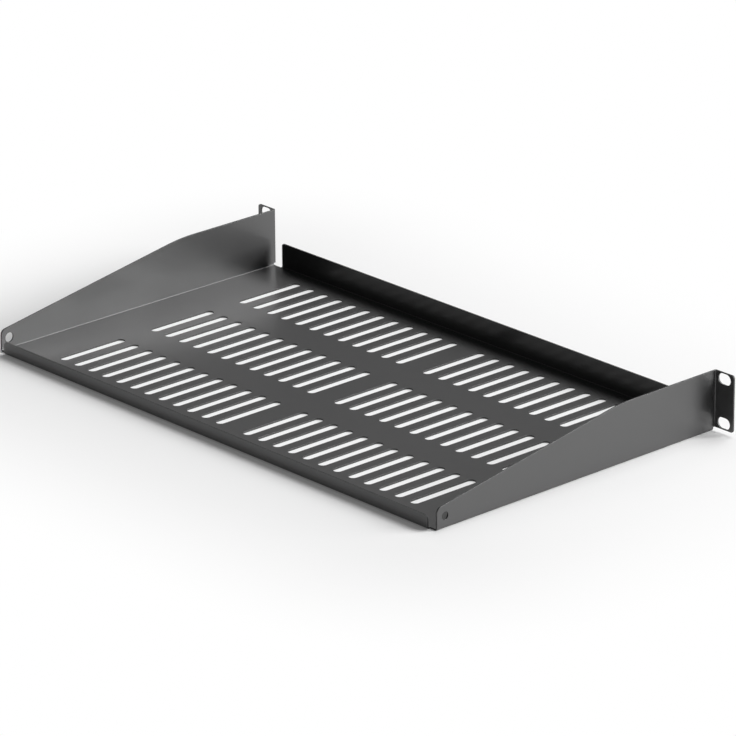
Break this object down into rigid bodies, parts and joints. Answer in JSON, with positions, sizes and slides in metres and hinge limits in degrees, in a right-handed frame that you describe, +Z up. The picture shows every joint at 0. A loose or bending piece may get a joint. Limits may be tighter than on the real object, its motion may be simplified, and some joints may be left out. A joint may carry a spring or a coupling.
{
  "type": "rack shelf",
  "caption": "Vented 1U shelf for a 19-inch rack, folded from one black steel sheet: slotted floor, tapered side wings, upturned front and rear lips and slotted mounting ears.",
  "frame": {"origin": "middle of the shelf left to right and front to rear, at the underside of the floor", "axes": "+X to the right as seen from the rack's front, -Y towards the rack's front where the ears' rack faces are, +Y towards the low rear lip, +Z up"},
  "size_m": [0.4826, 0.2606, 0.0437],
  "materials": {
    "powder_coat": "satin"
  },
  "bodies": {
    "root": {"shelf": "powder_coat"}
  },
  "joints": []
}
